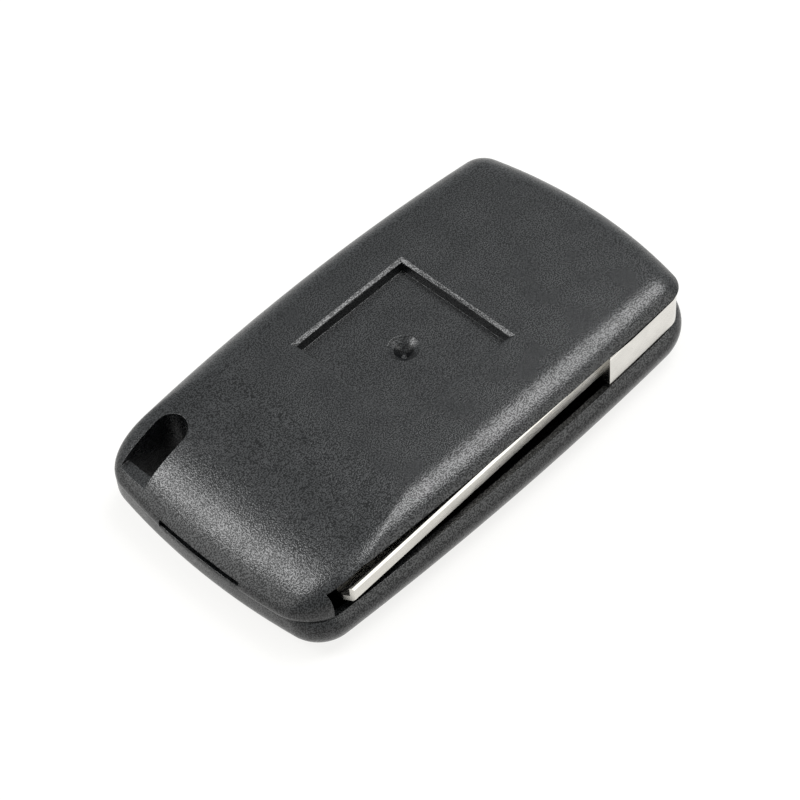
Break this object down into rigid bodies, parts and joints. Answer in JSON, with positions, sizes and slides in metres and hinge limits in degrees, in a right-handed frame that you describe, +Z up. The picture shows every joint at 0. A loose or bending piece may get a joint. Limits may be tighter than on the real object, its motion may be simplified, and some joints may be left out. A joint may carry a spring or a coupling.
{
  "type": "flip key remote shell",
  "caption": "Empty folding car key case in black plastic with a flip-out uncut blade in a chrome head, a release button, three keys and a bare badge recess.",
  "frame": {"origin": "middle of the case's footprint, on the flat key side that it lies on", "axes": "+X from the key ring end to the blade head end, -Y the long side where the folded blade shows, +Z up out of the back with the badge recess"},
  "size_m": [0.0701, 0.0396, 0.0124],
  "materials": {
    "black_grained_plastic": "fine spark-eroded grain",
    "black_plastic": "satin",
    "chromed_zinc": "satin chrome",
    "nickelled_blade": "nickelled, ground",
    "spring_steel": "bright drawn",
    "pressed_steel": "zinc plated",
    "bright_button": "satin chrome",
    "key_plastic": "soft matte",
    "grey_rubber": "matte",
    "contact_strip": "bright strip"
  },
  "bodies": {
    "case": {"back_shell": "black_grained_plastic", "front_shell": "black_plastic", "pivot_cap": "pressed_steel", "key_pad": "grey_rubber", "battery_contact_minus": "contact_strip", "battery_contact_plus": "contact_strip", "flip_spring": "spring_steel"},
    "flip_blade": {"blade_head": "chromed_zinc", "blade": "nickelled_blade", "blade_pin": "spring_steel"},
    "release": {"release_button": "bright_button"},
    "lock": {"lock_key": "key_plastic"},
    "boot": {"boot_key": "key_plastic"},
    "unlock": {"unlock_key": "key_plastic"}
  },
  "joints": [
    {"name": "blade_flip", "type": "hinge", "parent": "case", "child": "flip_blade", "pos_m": [0.026, -0.0091, 0.0082], "axis": [0, 0, 1], "range_deg": [0, 180]},
    {"name": "release_press", "type": "slide", "parent": "case", "child": "release", "axis": [0, 0, 1], "range_m": [0, 0.0014], "stiffness_N_per_m": 2500, "springref_m": -0.0008, "deforming": ["flip_spring"]},
    {"name": "lock_press", "type": "slide", "parent": "case", "child": "lock", "axis": [0, 0, 1], "range_m": [0, 0.0005], "stiffness_N_per_m": 3000, "springref_m": -0.0004},
    {"name": "boot_press", "type": "slide", "parent": "case", "child": "boot", "axis": [0, 0, 1], "range_m": [0, 0.0005], "stiffness_N_per_m": 3000, "springref_m": -0.0004},
    {"name": "unlock_press", "type": "slide", "parent": "case", "child": "unlock", "axis": [0, 0, 1], "range_m": [0, 0.0005], "stiffness_N_per_m": 3000, "springref_m": -0.0004}
  ]
}
